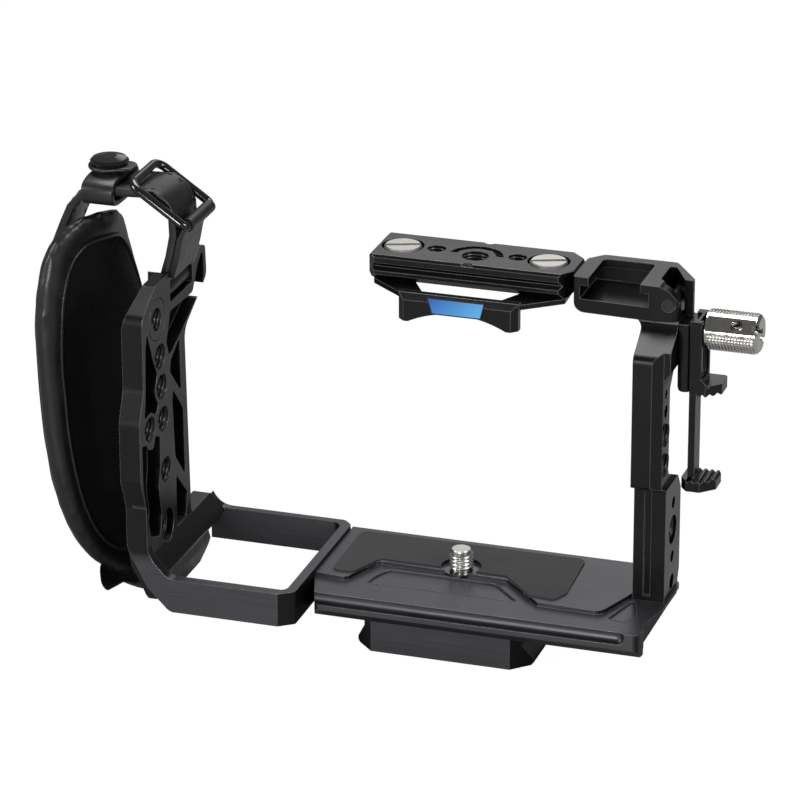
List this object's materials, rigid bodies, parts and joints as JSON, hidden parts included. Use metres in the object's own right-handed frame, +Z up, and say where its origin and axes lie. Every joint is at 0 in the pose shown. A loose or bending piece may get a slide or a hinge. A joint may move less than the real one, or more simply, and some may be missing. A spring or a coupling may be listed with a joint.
{
  "type": "camera cage with hand strap",
  "caption": "Camera cage: base plate on a quick release plate, open battery frame, side uprights, cold shoe, top plate with lens bracket, cable clamp and padded hand strap.",
  "frame": {"origin": "on the axis of the camera screw, at the top of the base plate that carries the camera", "axes": "+X towards the cable clamp, +Y towards the back of the camera, +Z up along the camera screw"},
  "size_m": [0.1926, 0.0594, 0.1268],
  "materials": {
    "black_aluminium": "black anodised, fine blasted",
    "rubber": "matt rubber sheet",
    "steel": "turned stainless steel",
    "black_steel": "black oxide",
    "blue_badge": "blue anodised plate",
    "black_leather": "smooth black leather",
    "black_wire": "gloss black coated wire"
  },
  "bodies": {
    "cage": {"base_plate": "black_aluminium", "base_rubber_pad": "rubber", "camera_screw_clip": "black_steel", "quick_release_plate": "black_aluminium", "release_plate_screws": "black_steel", "left_bracket": "black_aluminium", "left_bracket_screws": "black_steel", "right_bracket": "black_aluminium", "right_bracket_screws": "black_steel", "neck_strap_pin": "steel", "top_plate": "black_aluminium", "top_plate_lock_screw": "black_steel", "lens_bracket": "black_aluminium", "lens_bracket_badge": "blue_badge", "clamp_base": "black_aluminium", "clamp_base_screws": "black_steel", "clamp_stud": "steel", "hand_pad": "black_leather", "hand_strap": "black_leather", "strap_buckle": "black_wire", "strap_keeper": "black_leather", "strap_button": "black_wire", "strap_fold": "black_leather", "strap_anchor_pin": "steel", "lower_strap": "black_leather", "lower_strap_screw": "black_steel"},
    "screw": {"camera_screw": "steel"},
    "left_coin": {"top_screw_left": "steel"},
    "right_coin": {"top_screw_right": "steel"},
    "upper_jaw": {"clamp_upper_jaw": "black_aluminium"},
    "lower_jaw": {"clamp_lower_jaw": "black_aluminium"},
    "knob": {"clamp_knob": "steel"}
  },
  "joints": [
    {"name": "camera_screw_turn", "type": "hinge", "parent": "cage", "child": "screw", "pos_m": [0, 0, 0], "axis": [0, 0, 1], "continuous": true},
    {"name": "left_screw_turn", "type": "hinge", "parent": "cage", "child": "left_coin", "pos_m": [-0.0194, 0.0099, 0.086], "axis": [0, 0, 1], "continuous": true},
    {"name": "right_screw_turn", "type": "hinge", "parent": "cage", "child": "right_coin", "pos_m": [0.0206, 0.0099, 0.086], "axis": [0, 0, 1], "continuous": true},
    {"name": "knob_turn", "type": "hinge", "parent": "cage", "child": "knob", "pos_m": [0.07, 0.0058, 0.0739], "axis": [1, 0, 0], "continuous": true},
    {"name": "lower_jaw_slide", "type": "slide", "parent": "cage", "child": "lower_jaw", "axis": [0, 0, 1], "range_m": [0, 0.0155]},
    {"name": "upper_jaw_slide", "type": "slide", "parent": "cage", "child": "upper_jaw", "axis": [0, 0, 1], "range_m": [0, 0.008]}
  ]
}
